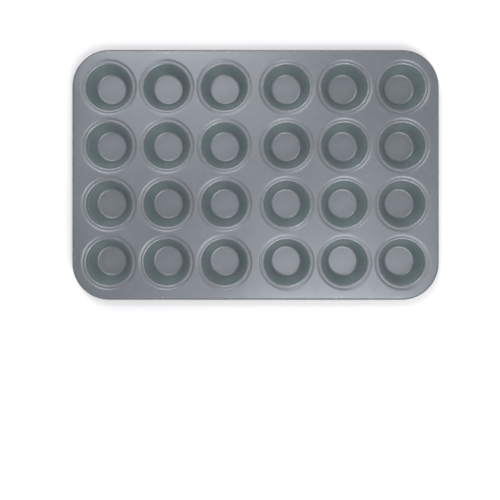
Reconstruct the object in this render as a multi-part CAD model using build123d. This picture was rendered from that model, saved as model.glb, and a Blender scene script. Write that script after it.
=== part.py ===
from build123d import *
import os
from math import atan2, copysign, cos, degrees, radians, sin, tan

# Muffin tin with 24 small cups, in millimetres. Z = 0 is the underside of the cups and the
# origin is below the middle of the deck. X runs along the six columns, Y along the four rows.
# The pierced deck carries 24 separately drawn cups: each cup's flange lies in a dished seat,
# and a bead swaged below the deck's collar locks it there. The deck's edge rolls over and is
# hemmed around a steel wire.

# Driving dimensions
LENGTH = 400.0  # over the rim, along X
WIDTH = 273.0  # over the rim, along Y
HEIGHT = 22.0  # from the cups' underside to the deck's top
SHEET = 0.6  # thickness of the steel of the deck and the cups
COLUMNS = 6
ROWS = 4
COLUMN_PITCH = 62.8  # between cup centres along X, within each half of the deck
HALVES_APART = 5.2  # more than that between the two middle columns
ROW_PITCH = 63.5  # between cup centres along Y

# Cups
WALL_LEAN = 21.0  # degrees between the wall and the vertical
BASE_RADIUS = 16.7  # where the wall's inner face meets the floor's, before rounding
BASE_ROUND = 3.0  # inside the cup
LIP_ROUND = 2.8  # top of the lip, from the flange to the wall
FLANGE_RADIUS = 27.8
BEAD_TOP = 2.9  # below the deck's top
BEAD_HEIGHT = 1.5
BEAD_DEPTH = 0.45
BEAD_CREST_ROUND = 0.3
BEAD_EDGE_ROUND = 0.9

# Dished seats in the deck
DISH_RADIUS = 31.1  # where the deck starts to dip
SEAT_RADIUS = 28.0  # where the seat is flat, one sheet lower
COLLAR_DEPTH = 2.5  # from the deck's top to the collar's lower edge
COLLAR_ROUND = LIP_ROUND - SHEET  # as the underside of the cup's lip
COLLAR_GAP = 0.05  # between the collar and the cup's wall

# Rim and hem
CORNER_RADIUS = (LENGTH - (COLUMNS - 1) * COLUMN_PITCH - HALVES_APART) / 2
ROLL_RADIUS = 3.2  # outer face of the edge where the deck turns down
RIM_FLAT = 4.8  # upright part of the rim, above the hem
HEM_RADIUS = 2.2  # outer face of the curl around the wire
HEM_TURN = 262.0  # degrees
WIRE_DIAMETER = 3.1
WIRE_GAP = 0.5  # between the wire's butted ends


def wall_radius(height):
    """Radius of the inner face of a cup's straight wall at a height."""
    return BASE_RADIUS + (height - SHEET) * tan(radians(WALL_LEAN))


def sheet_profile(edges, side=Side.LEFT):
    """Cross-section, in the XZ plane, of a sheet that lies to one side of a line of edges."""
    return Plane.XZ * make_face(offset(Wire(edges), amount=SHEET, side=side))


def cup_places():
    """Name and place of every cup: row 1 lies at +Y, column 1 at -X."""
    places = {}
    for row in range(ROWS):
        for column in range(COLUMNS):
            steps = column - (COLUMNS - 1) / 2
            x = steps * COLUMN_PITCH + copysign(HALVES_APART / 2, steps)
            y = ((ROWS - 1) / 2 - row) * ROW_PITCH
            places[f"cup_r{row + 1}_c{column + 1}"] = Pos(x, y, 0)
    return places


def make_cup():
    """One drawn cup: flange, rounded lip, swaged bead, leaning wall, rounded flat floor."""
    bead_start = HEIGHT - BEAD_TOP
    bead_middle = bead_start - BEAD_HEIGHT / 2
    bead_end = bead_start - BEAD_HEIGHT
    corners = [
        (FLANGE_RADIUS, HEIGHT),
        (wall_radius(HEIGHT), HEIGHT),
        (wall_radius(bead_start), bead_start),
        (wall_radius(bead_middle) + BEAD_DEPTH, bead_middle),
        (wall_radius(bead_end), bead_end),
        (BASE_RADIUS, SHEET),
        (0, SHEET),
    ]
    rounds = [LIP_ROUND, BEAD_EDGE_ROUND, BEAD_CREST_ROUND, BEAD_EDGE_ROUND, BASE_ROUND]
    inner_face = FilletPolyline(*corners, radius=rounds)
    return revolve(sheet_profile(inner_face.edges()), Axis.Z)


def make_seat():
    """The deck around one hole: an S-shaped dip, a flat seat and a turned-down collar."""
    run = DISH_RADIUS - SEAT_RADIUS
    slope = atan2(SHEET, run)
    dip_radius = run / (2 * sin(2 * slope))
    dip_turn = degrees(2 * slope)
    dip = JernArc((DISH_RADIUS, HEIGHT), (-1, 0), dip_radius, dip_turn)
    rise = JernArc(dip @ 1, dip % 1, dip_radius, -dip_turn)
    seat_height = HEIGHT - SHEET
    collar_end = HEIGHT - COLLAR_DEPTH
    wall_offset = (SHEET + COLLAR_GAP) / cos(radians(WALL_LEAN))
    collar = FilletPolyline(
        (SEAT_RADIUS, seat_height),
        (wall_radius(seat_height) + wall_offset, seat_height),
        (wall_radius(collar_end) + wall_offset, collar_end),
        radius=COLLAR_ROUND,
    )
    return revolve(sheet_profile(dip.edges() + rise.edges() + collar.edges()), Axis.Z)


def rim_profile():
    """Rolled edge and hem, drawn outwards from the axis of a corner."""
    roll = JernArc((CORNER_RADIUS - ROLL_RADIUS, HEIGHT), (1, 0), ROLL_RADIUS, -90)
    upright = Line(roll @ 1, roll @ 1 - Vector(0, RIM_FLAT))
    hem = JernArc(upright @ 1, upright % 1, HEM_RADIUS, -HEM_TURN)
    return sheet_profile(roll.edges() + upright.edges() + hem.edges(), Side.RIGHT)


def make_rim():
    """Four straight runs of the rolled rim and four round corners, as a list of solids."""
    profile = rim_profile()
    corner = revolve(profile, Axis.Z, 90)
    pieces = []
    for quarter in range(4):
        across, along = (LENGTH, WIDTH) if quarter % 2 == 0 else (WIDTH, LENGTH)
        reach = across / 2 - CORNER_RADIUS
        half_run = along / 2 - CORNER_RADIUS
        side = extrude(profile, amount=half_run, both=True)
        pieces.append(Rot(0, 0, 90 * quarter) * Pos(reach, 0, 0) * side)
        pieces.append(Rot(0, 0, 90 * quarter) * Pos(reach, half_run, 0) * corner)
    return pieces


def make_deck():
    """The pierced top sheet with its 24 seats, its rolled rim and its hem."""
    places = cup_places().values()
    flat_length = LENGTH - 2 * ROLL_RADIUS
    flat_width = WIDTH - 2 * ROLL_RADIUS
    outline = RectangleRounded(flat_length, flat_width, CORNER_RADIUS - ROLL_RADIUS)
    holes = [place * Circle(DISH_RADIUS) for place in places]
    plate = Pos(0, 0, HEIGHT - SHEET) * extrude(outline - holes, SHEET)
    seat = make_seat()
    return plate + [place * seat for place in places] + make_rim()


def make_rim_wire():
    """Steel wire inside the hem, a rounded rectangle whose ends butt in the middle of a side."""
    half_length = LENGTH / 2 - HEM_RADIUS
    half_width = WIDTH / 2 - HEM_RADIUS
    half_gap = WIRE_GAP / 2
    corners = [
        (half_gap, half_width),
        (half_length, half_width),
        (half_length, -half_width),
        (-half_length, -half_width),
        (-half_length, half_width),
        (-half_gap, half_width),
    ]
    centre_height = HEIGHT - ROLL_RADIUS - RIM_FLAT
    path = Pos(0, 0, centre_height) * FilletPolyline(*corners, radius=CORNER_RADIUS - HEM_RADIUS)
    section = Plane(origin=path @ 0, z_dir=path % 0) * Circle(WIRE_DIAMETER / 2)
    return sweep(section, path)


os.makedirs("parts", exist_ok=True)
export_step(make_deck(), "parts/deck.step")
export_step(make_rim_wire(), "parts/rim_wire.step")
cup = make_cup()
for name, place in cup_places().items():
    export_step(place * cup, f"parts/{name}.step")
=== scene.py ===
from math import atan2, ceil, cos, pi, radians, sin, tan

import bmesh
import bpy
from bpy.props import FloatProperty, FloatVectorProperty, IntProperty, PointerProperty
from bpy.types import Operator, Panel, PropertyGroup
from mathutils import Matrix, Vector


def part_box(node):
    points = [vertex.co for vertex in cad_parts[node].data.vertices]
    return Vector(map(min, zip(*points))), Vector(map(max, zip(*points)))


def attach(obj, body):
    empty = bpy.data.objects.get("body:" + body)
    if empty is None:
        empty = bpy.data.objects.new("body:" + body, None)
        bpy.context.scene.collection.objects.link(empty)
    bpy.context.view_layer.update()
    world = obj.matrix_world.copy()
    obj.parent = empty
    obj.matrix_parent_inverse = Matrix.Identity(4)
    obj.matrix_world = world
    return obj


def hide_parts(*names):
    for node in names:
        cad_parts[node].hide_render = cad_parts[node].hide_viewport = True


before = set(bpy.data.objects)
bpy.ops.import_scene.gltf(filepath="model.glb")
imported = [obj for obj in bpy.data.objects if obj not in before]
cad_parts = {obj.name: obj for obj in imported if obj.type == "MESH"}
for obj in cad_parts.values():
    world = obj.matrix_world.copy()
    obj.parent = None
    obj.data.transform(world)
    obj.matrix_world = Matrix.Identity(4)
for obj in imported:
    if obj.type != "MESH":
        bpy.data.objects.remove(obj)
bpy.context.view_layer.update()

bl_info = {
    "name": "Muffin tin",
    "version": (1, 0, 0),
    "blender": (4, 5, 0),
    "location": "3D View > Sidebar > Muffin tin",
    "description": "Builds a sheet-steel muffin tin with a pierced deck, seated cups and a wired hem",
    "category": "Object",
}

CUP_NODES = sorted(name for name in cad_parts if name.startswith("cup_"))
DECK_LOW, DECK_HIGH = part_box("deck")
CUP_LOW, CUP_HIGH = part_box(CUP_NODES[0])
WIRE_LOW, WIRE_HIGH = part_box("rim_wire")
TOP = DECK_HIGH.z


def cup_centre(node):
    """Place of a cup's axis, from its node's box."""
    low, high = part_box(node)
    return Vector((round((low.x + high.x) / 2, 5), round((low.y + high.y) / 2, 5), 0))


CENTRES = {node: cup_centre(node) for node in CUP_NODES}
INNER = Vector([min(abs(c[axis]) for c in CENTRES.values()) for axis in (0, 1)])  # nearest cup
OUTER = Vector([max(abs(c[axis]) for c in CENTRES.values()) for axis in (0, 1)])  # farthest cup
COLUMN_PITCH = OUTER.x - sorted({round(abs(c.x), 5) for c in CENTRES.values()})[-2]
ROW_PITCH = 2 * INNER.y
CORNER_RADIUS = DECK_HIGH.x - OUTER.x
CORE = Vector((OUTER.x, DECK_HIGH.y - CORNER_RADIUS, 0))  # middle of a round corner of the deck


def length(name, description, default):
    """A size in metres."""
    return FloatProperty(
        name=name, description=description, default=default, min=0, unit="LENGTH", precision=5
    )


def angle(name, description, degrees):
    """An angle, given in degrees."""
    return FloatProperty(
        name=name, description=description, default=radians(degrees), subtype="ANGLE"
    )


def colour(name, description, default):
    """A linear colour."""
    return FloatVectorProperty(
        name=name, description=description, default=default, subtype="COLOR", min=0, max=1
    )


class TinSizes(PropertyGroup):
    """Shapes of the sheet-metal parts."""

    sheet: length("Sheet", "Thickness of the steel", 0.0006)
    wall_lean: angle("Wall lean", "Between a cup's wall and the vertical", 21)
    floor_radius: length("Floor radius", "Where wall and floor would meet inside a cup", 0.0167)
    floor_round: length("Floor round", "Rounding between a cup's wall and floor", 0.003)
    lip_round: length("Lip round", "Rounding of a cup's lip, on top", 0.0028)
    bead_top: length("Bead top", "From the deck's top down to the locking bead", 0.0029)
    bead_height: length("Bead height", "Height of the locking bead", 0.0015)
    bead_depth: length("Bead depth", "How far the locking bead stands out", 0.00045)
    dish_radius: length("Dish radius", "Where the deck starts to dip around a cup", 0.0311)
    seat_radius: length("Seat radius", "Where the flange's seat is flat", 0.028)
    collar_depth: length("Collar depth", "From the deck's top to the collar's lower edge", 0.0025)
    collar_gap: length("Collar gap", "Between the collar and the cup", 0.00005)
    roll_radius: length("Roll radius", "Outer radius where the deck turns down at its edge", 0.0032)
    rim_flat: length("Rim flat", "Upright part of the rim", 0.0048)
    hem_radius: length("Hem radius", "Outer radius of the hem around the wire", 0.0022)
    hem_turn: angle("Hem turn", "How far the hem curls round the wire", 262)
    wire_gap: length("Wire gap", "Between the wire's butted ends", 0.0005)
    edge_round: length("Edge round", "Rounding of the sheet's cut edges", 0.00015)
    cup_steps: IntProperty(name="Cup steps", description="Facets around a cup", default=96, min=24)
    deck_steps: IntProperty(name="Deck steps", description="Facets around a hole", default=72, min=24)


class TinFinish(PropertyGroup):
    """Colours of the coating and the wire."""

    deck_colour: colour("Deck", "Release coating on the deck", (0.162, 0.177, 0.194))
    # Cup walls: greener than the deck, and painted lighter to make up for the shade inside the cups
    wall_colour_with_painted_light: colour("Cup walls", "Release coating on the drawn walls", (0.232, 0.287, 0.290))
    wire_colour: colour("Wire", "Bare steel wire", (0.46, 0.45, 0.43))


class StudioSettings(PropertyGroup):
    """Camera, floor and lamps."""

    camera_distance: length("Camera distance", "From the camera down to the deck", 0.87)
    view_width: length("View width", "Width of the view at the deck", 0.544)
    floor_colour: colour("Floor", "Pale floor", (0.95, 0.95, 0.95))
    dome_strength: FloatProperty(
        name="Dome", description="Strength of the light all round", default=0.53, min=0
    )
    lamp_power: FloatProperty(
        name="Lamps", description="Power of a soft lamp whose share is 1, in watts", default=1.33, min=0
    )


# ---------------------------------------------------------------- shader maths


class Signal:
    """A socket of a node tree that takes Python arithmetic."""

    def __init__(self, recipe, socket):
        self.recipe = recipe
        self.socket = socket

    def __add__(self, other):
        return self.recipe.math("ADD", self, other)

    def __sub__(self, other):
        return self.recipe.math("SUBTRACT", self, other)

    def __rsub__(self, other):
        return self.recipe.math("SUBTRACT", other, self)

    def __mul__(self, other):
        return self.recipe.math("MULTIPLY", self, other)

    def __truediv__(self, other):
        return self.recipe.math("DIVIDE", self, other)

    def __pow__(self, other):
        return self.recipe.math("POWER", self, other)

    __radd__ = __add__
    __rmul__ = __mul__


class Recipe:
    """A material under construction."""

    def __init__(self, name):
        self.material = bpy.data.materials.new(name)
        self.material.use_nodes = True
        self.tree = self.material.node_tree
        self.tree.nodes.clear()

    def node(self, kind, settings=None, inputs=None, output=0):
        """Adds a node, sets it up, feeds its sockets and returns one output as a Signal."""
        made = self.tree.nodes.new(kind)
        for key, value in (settings or {}).items():
            setattr(made, key, value)
        for key, value in (inputs or {}).items():
            self.feed(made.inputs[key], value)
        return Signal(self, made.outputs[output]) if made.outputs else None

    def feed(self, socket, value):
        """Links a Signal to a socket, or sets the socket's own value."""
        if isinstance(value, Signal):
            self.tree.links.new(value.socket, socket)
        elif socket.type == "RGBA" and len(value) == 3:
            socket.default_value = (*value, 1)
        else:
            socket.default_value = value

    def math(self, operation, *values):
        """One Math node."""
        return self.node("ShaderNodeMath", {"operation": operation}, dict(enumerate(values)))

    def ramp(self, value, start, end):
        """Smooth step of a value from 0 at start to 1 at end."""
        settings = {"interpolation_type": "SMOOTHSTEP"}
        inputs = {"Value": value, "From Min": start, "From Max": end}
        return self.node("ShaderNodeMapRange", settings, inputs)

    def band(self, value, middle, half_width):
        """1 at the middle of a band of values and 0 at its edges."""
        return 1 - self.ramp(self.math("ABSOLUTE", value - middle), 0.0, half_width)

    def mix(self, factor, first, second):
        """Colour between two colours."""
        settings = {"data_type": "RGBA"}
        made = self.node("ShaderNodeMix", settings).socket.node
        self.feed(made.inputs["Factor"], factor)
        self.feed(made.inputs[6], first)
        self.feed(made.inputs[7], second)
        return Signal(self, made.outputs[2])

    def scale(self, shade, factor):
        """Colour with its brightness multiplied by a factor."""
        return self.node("ShaderNodeVectorMath", {"operation": "SCALE"}, {0: shade, "Scale": factor})

    def noise(self, vector, scale, detail=2.0, roughness=0.5):
        """Soft noise with features of about 1 / scale metres."""
        inputs = {"Vector": vector, "Scale": scale, "Detail": detail, "Roughness": roughness}
        return self.node("ShaderNodeTexNoise", {}, inputs, "Fac")

    def bump(self, height, distance, normal=None):
        """Surface relief of a height signal, whose full range is a distance in metres."""
        inputs = {"Height": height, "Distance": distance}
        if normal is not None:
            inputs["Normal"] = normal
        return self.node("ShaderNodeBump", {}, inputs)

    def finish(self, inputs):
        """Closes the material with one Principled shader."""
        shader = self.node("ShaderNodeBsdfPrincipled", {}, inputs)
        self.node("ShaderNodeOutputMaterial", {}, {"Surface": shader})
        return self.material


def object_coordinates(recipe):
    """Position on the object in metres: the whole vector, and X, Y and Z on their own."""
    vector = recipe.node("ShaderNodeTexCoord", {}, {}, "Object")
    split = recipe.node("ShaderNodeSeparateXYZ", {}, {"Vector": vector}).socket.node
    return vector, *(Signal(recipe, split.outputs[axis]) for axis in "XYZ")


def cup_coordinates(recipe, x, y):
    """Distance from the nearest cup's axis, and X and Y counted from that axis, in metres."""
    half = COLUMN_PITCH / 2
    outwards = recipe.math("ABSOLUTE", x) - (INNER.x - half)
    local_x = (recipe.math("WRAP", outwards, COLUMN_PITCH, 0.0) - half) * recipe.math("SIGN", x)
    local_y = recipe.math("WRAP", y, ROW_PITCH, 0.0) - ROW_PITCH / 2
    distance = (local_x * local_x + local_y * local_y) ** 0.5
    return distance, local_x, local_y


# ---------------------------------------------------------------- materials


WALL_FOOT = (0.0160, 0.0175)  # from a cup's axis: the floor's colour turns into the wall's, which is painted lighter
WALL_TOP_PAINTED_FADE = (0.0226, 0.0264)  # from a cup's axis: the wall's colour turns into the deck's; this wide fade is painted shade, the soft fall of light over a lip rounder than the modelled one
LIP_WEAR = (0.0260, 0.0012)  # middle and half width of the rubbed band on a lip
RIM_WEAR = (0.0385, 0.0018)  # the same on the rolled edge
RUBBED_STEEL = (0.32, 0.33, 0.33)
OVEN_STAIN = (0.20, 0.17, 0.14)
LINES_AROUND = 30  # drawing lines on a cup's wall, round it
LINES_UP = 90  # and up it, per metre
BATCH = (170, 290)  # shift of the lines from cup to cup, along X and Y


def shades(base, spread):
    """A darker and a lighter version of a colour."""
    return tuple(c * (1 - spread) for c in base), tuple(c * (1 + spread) for c in base)


def rim_distance(recipe, x, y):
    """Distance outwards from the rectangle through the corner cups' axes, in metres."""
    past_x = recipe.math("MAXIMUM", recipe.math("ABSOLUTE", x) - CORE.x, 0.0)
    past_y = recipe.math("MAXIMUM", recipe.math("ABSOLUTE", y) - CORE.y, 0.0)
    return (past_x * past_x + past_y * past_y) ** 0.5


def coating(name, base, wall=None):
    """Satin release coating on steel; a drawn cup's wall has faint lines up it and a greener colour,
    painted lighter than the deck's to make up for the shade inside the cup.
    """
    recipe = Recipe(name)
    vector, x, y, z = object_coordinates(recipe)
    distance, local_x, local_y = cup_coordinates(recipe, x, y)
    clouds = recipe.noise(vector, 13, 2.0, 0.5)
    mottle = recipe.noise(vector, 190, 3.0, 0.6)
    grain = recipe.noise(vector, 2400, 2.0, 0.6)
    tone = 0.5 + (clouds - 0.5) * 1.1 + (mottle - 0.5) * 0.5 + (grain - 0.5) * 0.8
    rough = 0.40 + (mottle - 0.5) * 0.08 + (grain - 0.5) * 0.10
    orange_peel = recipe.noise(vector, 620, 1.0, 0.4)
    shade = base
    if wall:
        batch = (x - local_x) * BATCH[0] + (y - local_y) * BATCH[1]
        directions = {
            "X": local_x / distance * LINES_AROUND,
            "Y": local_y / distance * LINES_AROUND,
            "Z": z * LINES_UP + batch,
        }
        around = recipe.node("ShaderNodeCombineXYZ", {}, directions)
        # On the wall the colour is painted lighter than the deck's to make up for the shade inside the cup;
        # the wide fade at its top is painted shade for a rounder lip
        on_wall = recipe.ramp(distance, *WALL_FOOT) * (1 - recipe.ramp(distance, *WALL_TOP_PAINTED_FADE))
        lines = recipe.noise(around, 1.0, 4.0, 0.65)
        tone = tone + (lines - 0.5) * on_wall * 0.9
        rough = rough + (lines - 0.5) * on_wall * 0.10
        relief = recipe.bump(lines * on_wall, 0.00003)
        shade = recipe.mix(on_wall, base, wall)
    else:
        relief = recipe.bump(recipe.noise(vector, 9, 1.0, 0.4), 0.0007)
    lip = recipe.band(distance, *LIP_WEAR) * recipe.ramp(z, TOP - 0.0016, TOP - 0.0004)
    edge = recipe.band(rim_distance(recipe, x, y), *RIM_WEAR)
    rim = edge * recipe.ramp(z, TOP - 0.006, TOP - 0.002)
    rubbed = recipe.ramp(recipe.noise(vector, 260, 3.0, 0.7), 0.48, 0.66)
    worn = (lip + rim) * rubbed * 0.35
    surface = recipe.scale(shade, 0.84 + tone * 0.32)
    return recipe.finish(
        {
            "Base Color": recipe.mix(worn, surface, RUBBED_STEEL),
            "Metallic": 0.5,
            "Roughness": rough - worn * 0.12,
            "Coat Weight": 0.12,
            "Coat Roughness": 0.28,
            "Normal": recipe.bump(grain, 0.0000012, recipe.bump(orange_peel, 0.000012, relief)),
        }
    )


def bare_wire(name, base):
    """Drawn steel wire with fine lines along it and patches dulled by the oven."""
    recipe = Recipe(name)
    vector, x, y, z = object_coordinates(recipe)
    dull = recipe.ramp(recipe.noise(vector, 70, 3.0, 0.6), 0.42, 0.62)
    lines = recipe.noise(vector, 1800, 2.0, 0.6)
    dark, light = shades(base, 0.2)
    surface = recipe.mix(lines, dark, light)
    return recipe.finish(
        {
            "Base Color": recipe.mix(dull * 0.5, surface, OVEN_STAIN),
            "Metallic": 1.0,
            "Roughness": 0.30 + dull * 0.18 + (lines - 0.5) * 0.1,
            "Normal": recipe.bump(lines, 0.000006),
        }
    )


def matt_floor(name, base):
    """Pale matt board with a very fine tooth."""
    recipe = Recipe(name)
    vector, x, y, z = object_coordinates(recipe)
    tooth = recipe.noise(vector, 900, 2.0, 0.6)
    dark, light = shades(base, 0.015)
    return recipe.finish(
        {
            "Base Color": recipe.mix(tooth, dark, light),
            "Roughness": 0.85,
            "Normal": recipe.bump(tooth, 0.00001),
        }
    )


# ---------------------------------------------------------------- sheet-metal modelling


BEAD_EDGE_ROUND = 0.0009
BEAD_CREST_ROUND = 0.0003
SUPPORT_RING = 0.0001  # flat strip just outside a dish, which keeps its edge crisp


class Pen:
    """Draws the face line of a sheet in the XZ plane, as a run of vertices joined by edges."""

    def __init__(self, bm, start, heading):
        self.bm = bm
        self.tip = bm.verts.new((start[0], 0, start[1]))
        self.heading = heading

    def line(self, distance):
        """Goes straight on."""
        made = bmesh.ops.extrude_vert_indiv(self.bm, verts=[self.tip])["verts"][0]
        made.co = self.tip.co + distance * Vector((cos(self.heading), 0, sin(self.heading)))
        self.tip = made

    def arc(self, radius, turn, steps):
        """Turns by an angle, to the left if it is positive, on an arc that leaves the tip smoothly."""
        side = 1 if turn > 0 else -1
        centre = self.tip.co + side * radius * Vector((-sin(self.heading), 0, cos(self.heading)))
        spun = bmesh.ops.spin(
            self.bm, geom=[self.tip], cent=centre, axis=(0, -1, 0), angle=turn, steps=steps
        )
        self.tip = next(g for g in spun["geom_last"] if isinstance(g, bmesh.types.BMVert))
        self.heading += turn

    def corner(self, point, radius, beyond, step=radians(9)):
        """Goes to a rounded corner and turns towards the point beyond it."""
        ahead = atan2(beyond[1] - point[1], beyond[0] - point[0])
        turn = (ahead - self.heading + pi) % (2 * pi) - pi
        room = radius * tan(abs(turn) / 2)
        self.line((Vector((point[0], 0, point[1])) - self.tip.co).length - room)
        self.arc(radius, turn, ceil(abs(turn) / step))

    def goes_to(self, point):
        """Goes straight to a point that lies ahead."""
        self.line((Vector((point[0], 0, point[1])) - self.tip.co).length)


def wall_radius(sizes, height):
    """Radius of a cup wall's inner face at a height above the cup's underside."""
    return sizes.floor_radius + (height - sizes.sheet) * tan(sizes.wall_lean)


def spin_full(bm, steps):
    """Turns a drawn face line once round the Z axis and welds the seam and any pole."""
    line = bm.verts[:] + bm.edges[:]
    bmesh.ops.spin(bm, geom=line, cent=(0, 0, 0), axis=(0, 0, 1), angle=2 * pi, steps=steps, use_merge=True)
    bmesh.ops.remove_doubles(bm, verts=bm.verts, dist=1e-7)


def face_up(bm):
    """Turns every face of an open sheet so that its flat parts face upwards."""
    flattest = max(bm.faces, key=lambda face: abs(face.normal.z) * face.calc_area())
    bmesh.ops.recalc_face_normals(bm, faces=bm.faces)
    if flattest.normal.z < 0:
        bmesh.ops.reverse_faces(bm, faces=bm.faces)


def thicken(bm, thickness, edge_round):
    """Gives a sheet its thickness below its faces, rounds its cut edges and shades it smooth."""
    bmesh.ops.solidify(bm, geom=bm.faces[:], thickness=thickness)
    bm.normal_update()
    cut = [e for e in bm.edges if e.is_manifold and e.calc_face_angle() > radians(60)]
    if edge_round:
        bmesh.ops.bevel(
            bm, geom=cut, offset=edge_round, segments=2, profile=0.5, affect="EDGES", material=-1
        )
        cut = []
    for face in bm.faces:
        face.smooth = True
    for edge in cut:
        edge.smooth = False


def add_piece(name, bm, material, node):
    """Makes a finished mesh into a piece that stands for a CAD node."""
    mesh = bpy.data.meshes.new(name)
    bm.to_mesh(mesh)
    bm.free()
    mesh.materials.append(material)
    piece = bpy.data.objects.new(name, mesh)
    bpy.context.scene.collection.objects.link(piece)
    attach(piece, "root")
    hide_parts(node)
    return piece


def cup_sheet(sizes):
    """One drawn cup about the Z axis: flange, lip, locking bead, wall and floor."""
    bm = bmesh.new()
    bead_start = TOP - sizes.bead_top
    bead_middle = bead_start - sizes.bead_height / 2
    bead_end = bead_start - sizes.bead_height
    lip = (wall_radius(sizes, TOP), TOP)
    start = (wall_radius(sizes, bead_start), bead_start)
    middle = (wall_radius(sizes, bead_middle) + sizes.bead_depth, bead_middle)
    end = (wall_radius(sizes, bead_end), bead_end)
    floor = (sizes.floor_radius, sizes.sheet)
    pen = Pen(bm, ((CUP_HIGH.x - CUP_LOW.x) / 2, TOP), pi)
    pen.corner(lip, sizes.lip_round, start, radians(8))
    pen.corner(start, BEAD_EDGE_ROUND, middle)
    pen.corner(middle, BEAD_CREST_ROUND, end, radians(16))
    pen.corner(end, BEAD_EDGE_ROUND, floor)
    pen.corner(floor, sizes.floor_round, (0, sizes.sheet), radians(8))
    pen.line(0.0004)
    pen.goes_to((0.004, sizes.sheet))
    pen.goes_to((0, sizes.sheet))
    spin_full(bm, sizes.cup_steps)
    face_up(bm)
    thicken(bm, sizes.sheet, sizes.edge_round)
    return bm


def seat_cell(sizes):
    """The deck round one hole: collar, seat and dip, and a flat web out to a unit square."""
    bm = bmesh.new()
    offset = (sizes.sheet + sizes.collar_gap) / cos(sizes.wall_lean)
    seat_height = TOP - sizes.sheet
    low = TOP - sizes.collar_depth
    bend = (wall_radius(sizes, seat_height) + offset, seat_height)
    pen = Pen(bm, (wall_radius(sizes, low) + offset, low), pi / 2 - sizes.wall_lean)
    pen.corner(bend, sizes.lip_round - sizes.sheet, (sizes.seat_radius, seat_height), radians(12))
    pen.goes_to((sizes.seat_radius, seat_height))
    run = sizes.dish_radius - sizes.seat_radius
    slope = atan2(sizes.sheet, run)
    dip_radius = run / (2 * sin(2 * slope))
    pen.arc(dip_radius, 2 * slope, 4)
    pen.arc(dip_radius, -2 * slope, 4)
    pen.line(SUPPORT_RING)
    ring_radius = pen.tip.co.x
    spin_full(bm, sizes.deck_steps)
    ring = [e for e in bm.edges if e.is_boundary and e.verts[0].co.xy.length > ring_radius - 1e-5]
    for vertex in extrude_edges(bm, ring)[0]:
        vertex.co.xy /= max(abs(vertex.co.x), abs(vertex.co.y))
    return bm


def web_reach(centre, sizes):
    """How far a hole's web goes each way along X and Y: half way to its neighbour or to the rim."""
    reach = []
    for axis, pitch in enumerate((COLUMN_PITCH, ROW_PITCH)):
        inwards = INNER[axis] if abs(centre[axis]) < INNER[axis] + 1e-4 else pitch / 2
        at_rim = abs(centre[axis]) > OUTER[axis] - 1e-4
        outwards = DECK_HIGH[axis] - sizes.roll_radius - OUTER[axis] if at_rim else pitch / 2
        reach.append((inwards, outwards) if centre[axis] > 0 else (outwards, inwards))
    return reach


def fit_web(vertices, centre, sizes):
    """Widens a seat cell's unit square to the space that its hole has."""
    (west, east), (south, north) = web_reach(centre, sizes)
    for vertex in vertices:
        if max(abs(vertex.co.x), abs(vertex.co.y)) > 0.5:
            vertex.co.x *= east if vertex.co.x > 0 else west
            vertex.co.y *= north if vertex.co.y > 0 else south


def extrude_edges(bm, edges):
    """Extrudes a run of edges; returns the new vertices and the new run."""
    made = bmesh.ops.extrude_edge_only(bm, edges=edges)["geom"]
    vertices = {g for g in made if isinstance(g, bmesh.types.BMVert)}
    run = [g for g in made if isinstance(g, bmesh.types.BMEdge) and set(g.verts) <= vertices]
    return vertices, run


def rim_line(sizes):
    """Rolled edge and hem as pairs of distance from the core rectangle and height."""
    bm = bmesh.new()
    pen = Pen(bm, (CORNER_RADIUS - sizes.roll_radius, TOP), 0)
    pen.arc(sizes.roll_radius, -pi / 2, 10)
    pen.line(sizes.rim_flat)
    pen.arc(sizes.hem_radius, -sizes.hem_turn, 18)
    line = [(v.co.x, v.co.z) for v in bm.verts]
    bm.free()
    return line


def place_outline(vertices, reach, height):
    """Puts outline vertices at a distance from the core rectangle and at a height."""
    for vertex in vertices:
        x = min(max(vertex.co.x, -CORE.x), CORE.x)
        y = min(max(vertex.co.y, -CORE.y), CORE.y)
        core = Vector((x, y, 0))
        outward = (vertex.co - core).to_2d().normalized()
        vertex.co = core + reach * outward.to_3d() + Vector((0, 0, height))


def deck_sheet(sizes):
    """The whole deck: a seat cell for every cup, welded, then the rolled edge and the hem."""
    bm = seat_cell(sizes)
    cell = bm.verts[:] + bm.edges[:] + bm.faces[:]
    for centre in CENTRES.values():
        copy = bmesh.ops.duplicate(bm, geom=cell)["geom"]
        moved = [g for g in copy if isinstance(g, bmesh.types.BMVert)]
        fit_web(moved, centre, sizes)
        bmesh.ops.translate(bm, verts=moved, vec=centre)
    bmesh.ops.delete(bm, geom=[g for g in cell if isinstance(g, bmesh.types.BMVert)], context="VERTS")
    bmesh.ops.remove_doubles(bm, verts=bm.verts, dist=1e-5)
    run = [e for e in bm.edges if e.is_boundary and e.verts[0].co.z > TOP - 1e-5]
    flat_edge, *roll = rim_line(sizes)
    place_outline({v for e in run for v in e.verts}, *flat_edge)
    for reach, height in roll:
        vertices, run = extrude_edges(bm, run)
        place_outline(vertices, reach, height)
    face_up(bm)
    thicken(bm, sizes.sheet, 0)
    return bm


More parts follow.
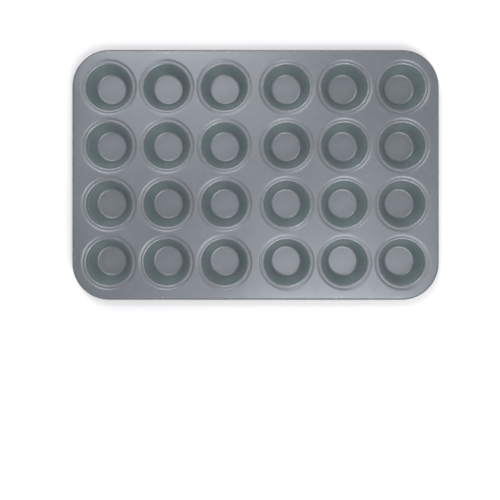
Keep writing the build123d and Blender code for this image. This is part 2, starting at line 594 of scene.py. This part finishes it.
def wire_loop(sizes):
    """The hem's wire: straight runs and round corners, with the ends butted in the middle of +Y."""
    bm = bmesh.new()
    radius = (WIRE_HIGH.z - WIRE_LOW.z) / 2
    half_x, half_y = WIRE_HIGH.x - radius, WIRE_HIGH.y - radius
    height = (WIRE_HIGH.z + WIRE_LOW.z) / 2
    turn = Matrix.Rotation(pi / 2, 4, "Y")
    place = Matrix.Translation((sizes.wire_gap / 2, half_y, height)) @ turn
    bmesh.ops.create_circle(bm, cap_ends=False, segments=16, radius=radius, matrix=place)
    ring = bm.edges[:]
    first = ring
    heading = Vector((1, 0, 0))
    start = Vector((sizes.wire_gap / 2, half_y, height))
    for x_side, y_side in ((1, 1), (1, -1), (-1, -1), (-1, 1)):
        corner = Vector((x_side * CORE.x, y_side * CORE.y, height))
        vertices, ring = extrude_edges(bm, ring)
        bmesh.ops.translate(bm, verts=list(vertices), vec=heading * (corner - start).dot(heading))
        middle = sum((v.co for v in vertices), Vector()) / len(vertices)
        spun = bmesh.ops.spin(
            bm, geom=[*vertices, *ring], cent=corner, axis=(0, 0, -1), angle=pi / 2, steps=14
        )["geom_last"]
        ring = [g for g in spun if isinstance(g, bmesh.types.BMEdge)]
        heading = Matrix.Rotation(-pi / 2, 3, "Z") @ heading
        start = corner + Matrix.Rotation(-pi / 2, 3, "Z") @ (middle - corner)
    vertices, ring = extrude_edges(bm, ring)
    end = Vector((-sizes.wire_gap / 2, half_y, height))
    bmesh.ops.translate(bm, verts=list(vertices), vec=heading * (end - start).dot(heading))
    for loop in (first, ring):
        bmesh.ops.edgeloop_fill(bm, edges=loop)
    bmesh.ops.recalc_face_normals(bm, faces=bm.faces)
    for face in bm.faces:
        face.smooth = len(face.verts) == 4
    return bm


# ---------------------------------------------------------------- operators


class MUFFIN_OT_stage(Operator):
    """Lay the pale floor, light it softly from above and look straight down on the tin"""

    bl_idname = "muffin_tin.stage"
    bl_label = "Stage"

    def execute(self, context):
        studio = context.scene.tin_studio
        bm = bmesh.new()
        bmesh.ops.create_grid(bm, x_segments=1, y_segments=1, size=3.0)
        bmesh.ops.translate(bm, verts=bm.verts, vec=(0, 0, CUP_LOW.z))
        mesh = bpy.data.meshes.new("floor")
        bm.to_mesh(mesh)
        bm.free()
        mesh.materials.append(matt_floor("pale_floor", studio.floor_colour))
        floor = bpy.data.objects.new("floor", mesh)
        context.scene.collection.objects.link(floor)
        light_dome(context.scene, studio.dome_strength)
        for name, place, size, share, tint in LAMPS:
            soft_lamp(context.scene, name, place, size, share * studio.lamp_power, tint)
        overhead_camera(context.scene, studio)
        return {"FINISHED"}


class MUFFIN_OT_deck(Operator):
    """Model the pierced deck with its seats, collars, rolled rim and hem"""

    bl_idname = "muffin_tin.deck"
    bl_label = "Deck"

    def execute(self, context):
        finish = coating("deck_coating", context.scene.tin_finish.deck_colour)
        add_piece("deck_sheet", deck_sheet(context.scene.tin_sizes), finish, "deck")
        return {"FINISHED"}


class MUFFIN_OT_cups(Operator):
    """Model the drawn cups and set one in every seat"""

    bl_idname = "muffin_tin.cups"
    bl_label = "Cups"

    def execute(self, context):
        finish_colours = context.scene.tin_finish
        # The cups' walls get a colour painted lighter than the deck's, to make up for the shade inside them
        finish = coating("cup_coating", finish_colours.deck_colour, finish_colours.wall_colour_with_painted_light)
        pattern = cup_sheet(context.scene.tin_sizes)
        for node, centre in CENTRES.items():
            bm = pattern.copy()
            bmesh.ops.translate(bm, verts=bm.verts, vec=centre)
            add_piece("drawn_" + node, bm, finish, node)
        pattern.free()
        return {"FINISHED"}


class MUFFIN_OT_wire(Operator):
    """Model the steel wire inside the hem"""

    bl_idname = "muffin_tin.wire"
    bl_label = "Rim wire"

    def execute(self, context):
        finish = bare_wire("wire_steel", context.scene.tin_finish.wire_colour)
        add_piece("hem_wire", wire_loop(context.scene.tin_sizes), finish, "rim_wire")
        return {"FINISHED"}


class MUFFIN_PT_panel(Panel):
    """Sizes, finishes and the operators that build the tin"""

    bl_idname = "MUFFIN_PT_panel"
    bl_label = "Muffin tin"
    bl_space_type = "VIEW_3D"
    bl_region_type = "UI"
    bl_category = "Muffin tin"

    def draw(self, context):
        for group in (context.scene.tin_sizes, context.scene.tin_finish, context.scene.tin_studio):
            box = self.layout.box()
            for key in group.__annotations__:
                box.prop(group, key)
        for operator in OPERATORS:
            self.layout.operator(operator.bl_idname)


# Soft lamps: name, place, width and depth, share of the lamp power, tint
LAMPS = (
    ("back_lamp", (-0.18, 0.44, 1.20), (0.26, 0.26), 2.3, (1.0, 0.97, 1.0)),
    ("front_lamp", (0.18, -0.44, 1.20), (0.26, 0.26), 2.9, (1.0, 0.98, 1.0)),
    ("far_back_lamp", (-0.36, 0.88, 1.00), (0.80, 0.36), 3.0, (1.0, 1.0, 1.0)),
    ("far_front_lamp", (0.36, -0.88, 1.00), (0.80, 0.36), 3.6, (1.0, 1.0, 1.0)),
    ("right_lamp", (0.95, 0.0, 1.00), (0.36, 0.36), 0.6, (1.0, 1.0, 1.0)),
    ("low_back_lamp", (0.0, 1.60, 0.60), (0.45, 0.45), 1.4, (1.0, 1.0, 1.0)),
)
DOME_COLOUR = (0.97, 0.985, 1.0, 1)
VIEW_AXIS = Vector((-0.0006, -0.0176))  # point of the deck that the camera looks straight down on
FRAME_SHIFT = (-0.010, -0.118)
SENSOR_WIDTH = 36.0  # millimetres


def light_dome(scene, strength):
    """Even light all round."""
    world = bpy.data.worlds.new("soft_dome")
    world.use_nodes = True
    background = world.node_tree.nodes["Background"]
    background.inputs["Color"].default_value = DOME_COLOUR
    background.inputs["Strength"].default_value = strength
    scene.world = world


def soft_lamp(scene, name, place, size, power, tint):
    """A rectangular soft lamp that faces the middle of the tin."""
    lamp = bpy.data.lights.new(name, "AREA")
    lamp.shape = "RECTANGLE"
    lamp.size, lamp.size_y = size
    lamp.energy = power
    lamp.color = tint
    stand = bpy.data.objects.new(name, lamp)
    stand.location = place
    stand.rotation_euler = (-Vector(place)).to_track_quat("-Z", "Y").to_euler()
    stand.visible_camera = False
    scene.collection.objects.link(stand)


def overhead_camera(scene, studio):
    """Camera that looks straight down, a little in front of the middle."""
    lens = bpy.data.cameras.new("overhead_camera")
    lens.sensor_width = SENSOR_WIDTH
    lens.lens = SENSOR_WIDTH * studio.camera_distance / studio.view_width
    lens.shift_x, lens.shift_y = FRAME_SHIFT
    lens.dof.use_dof = False
    camera = bpy.data.objects.new("overhead_camera", lens)
    camera.location = (*VIEW_AXIS, TOP + studio.camera_distance)
    scene.collection.objects.link(camera)
    scene.camera = camera


GROUPS = {"tin_sizes": TinSizes, "tin_finish": TinFinish, "tin_studio": StudioSettings}
OPERATORS = (MUFFIN_OT_stage, MUFFIN_OT_deck, MUFFIN_OT_cups, MUFFIN_OT_wire)


def register():
    for kind in (*GROUPS.values(), *OPERATORS, MUFFIN_PT_panel):
        bpy.utils.register_class(kind)
    for name, group in GROUPS.items():
        setattr(bpy.types.Scene, name, PointerProperty(type=group))


def unregister():
    for name in GROUPS:
        delattr(bpy.types.Scene, name)
    for kind in reversed((*GROUPS.values(), *OPERATORS, MUFFIN_PT_panel)):
        bpy.utils.unregister_class(kind)


def main():
    register()
    bpy.context.scene.view_settings.view_transform = "Standard"
    bpy.ops.muffin_tin.stage()
    bpy.ops.muffin_tin.deck()
    bpy.ops.muffin_tin.cups()
    bpy.ops.muffin_tin.wire()


if __name__ == "__main__":
    main()
